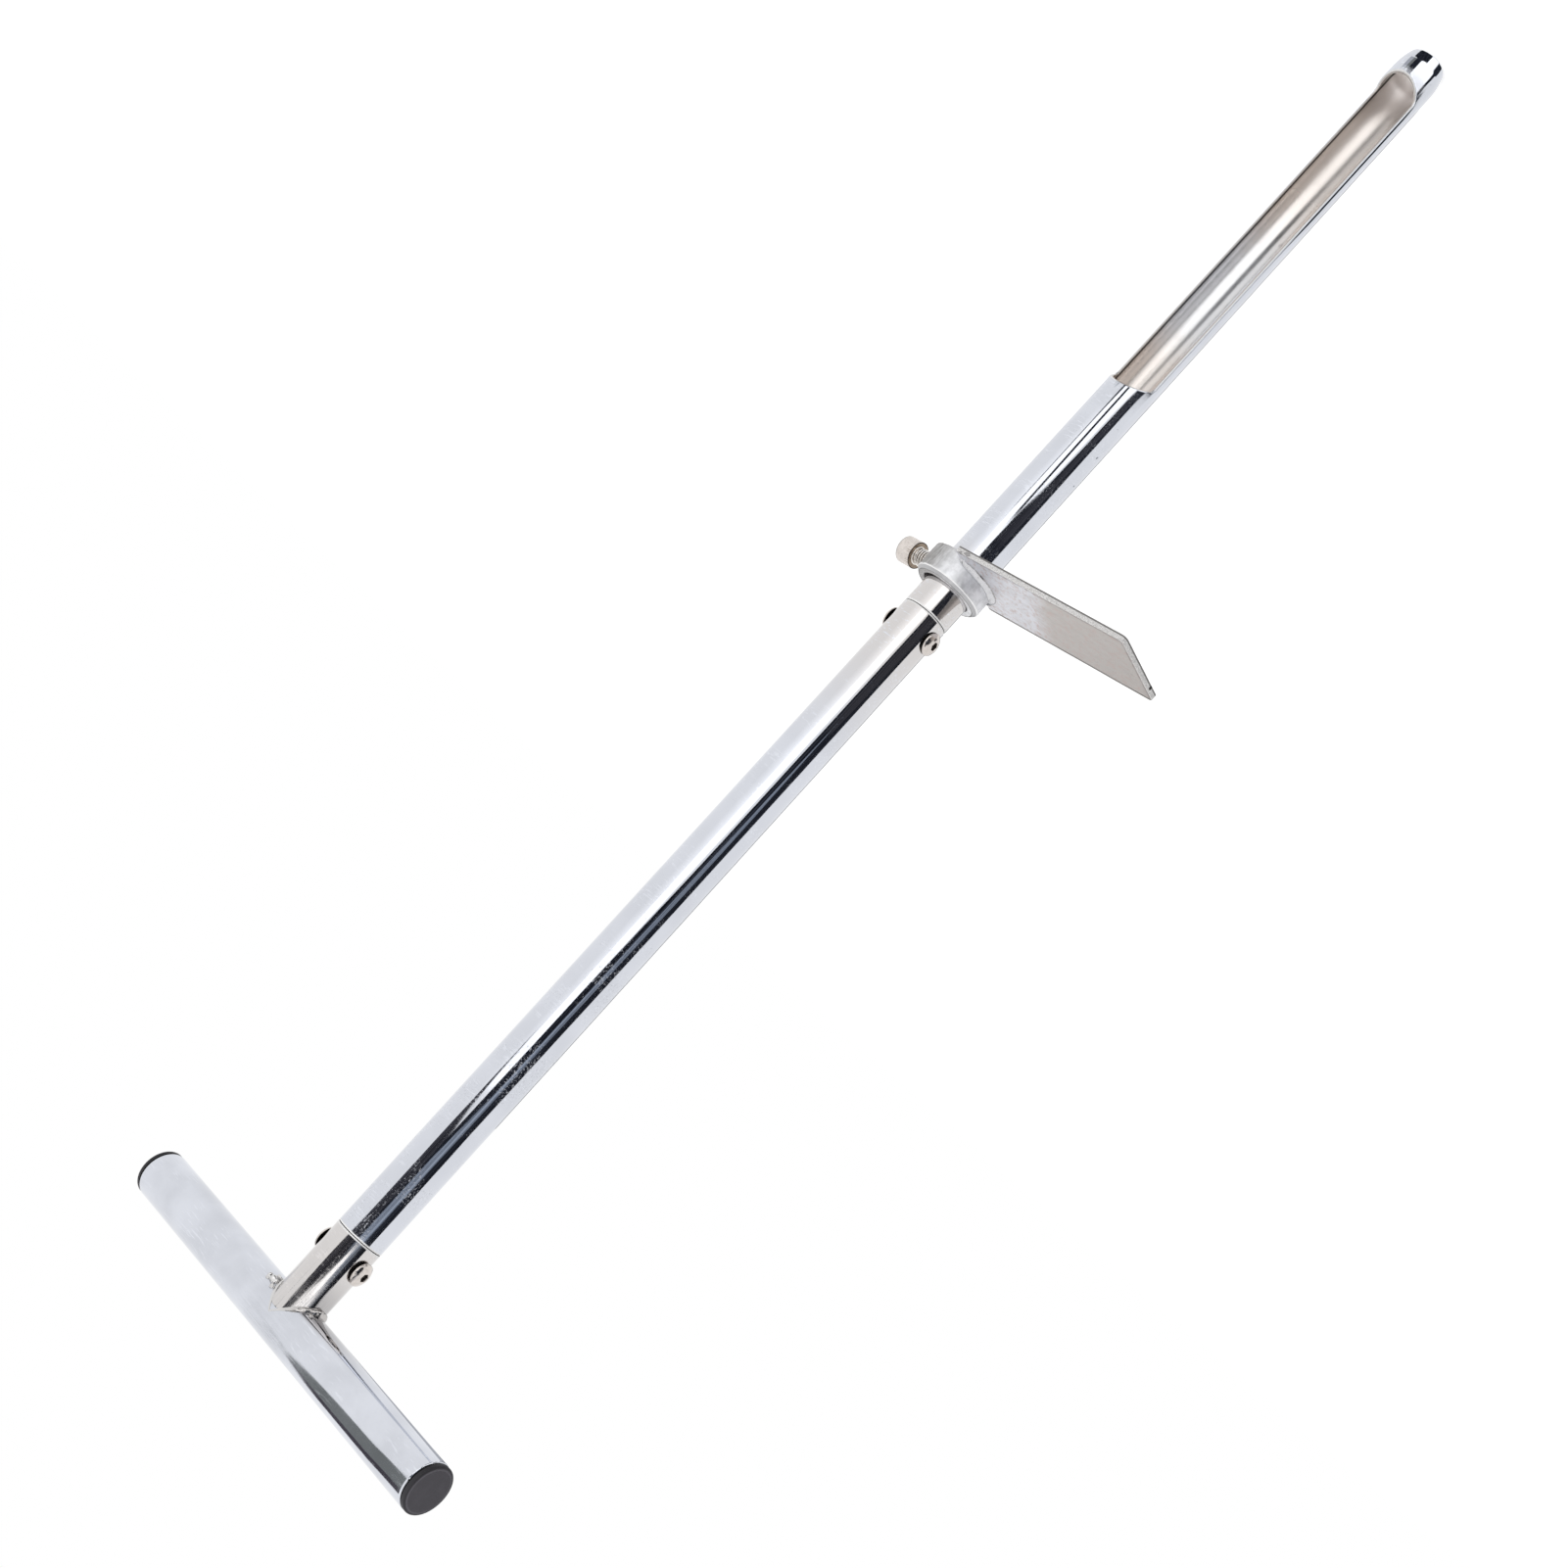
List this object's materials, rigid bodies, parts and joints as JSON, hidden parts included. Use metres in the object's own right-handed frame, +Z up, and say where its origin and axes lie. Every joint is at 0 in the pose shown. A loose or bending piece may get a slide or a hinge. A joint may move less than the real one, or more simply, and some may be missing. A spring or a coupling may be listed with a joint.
{
  "type": "soil sampling probe",
  "caption": "Push-in soil sampling probe: chromed tube with a T handle, a long side window above a drawn-in cutting mouth, and a footrest plate on a clamped sliding collar.",
  "frame": {"origin": "centre of the cutting mouth at the lower end of the sampling tube", "axes": "+Z up the tube's axis to the handle, +X to the front, where the footrest plate points, with the handle bar along X; the sample window faces 5 degrees off +Y"},
  "size_m": [0.247, 0.0494, 0.8507],
  "materials": {
    "chrome_tube": "bright chrome plate with fine handling marks",
    "weld_bead": "lumpy weld under thin plating",
    "footrest_steel": "dull plated steel, mottled",
    "screw_nickel": "warm nickel plate",
    "spigot_steel": "turned steel",
    "cap_plastic": "fine matt grain"
  },
  "bodies": {
    "probe": {"handle_bar": "chrome_tube", "handle_stem": "chrome_tube", "handle_weld": "weld_bead", "end_cap_front": "cap_plastic", "end_cap_rear": "cap_plastic", "upper_spigot": "spigot_steel", "upper_joint_screw_front": "screw_nickel", "upper_joint_screw_rear": "screw_nickel", "extension_tube": "chrome_tube", "lower_spigot": "spigot_steel", "lower_joint_screw_front": "screw_nickel", "lower_joint_screw_rear": "screw_nickel", "sampling_tube": "chrome_tube"},
    "footrest": {"footrest_collar": "footrest_steel", "footrest_plate": "footrest_steel", "footrest_weld": "weld_bead"},
    "clamp_screw": {"clamp_screw": "screw_nickel"}
  },
  "joints": [
    {"name": "footrest_slide", "type": "slide", "parent": "probe", "child": "footrest", "axis": [0, 0, 1], "range_m": [-0.117, 0.018]},
    {"name": "clamp_screw_turn", "type": "hinge", "parent": "footrest", "child": "clamp_screw", "pos_m": [-0.03, 0, 0.3667], "axis": [-1, 0, 0], "range_deg": [0, 720]}
  ]
}
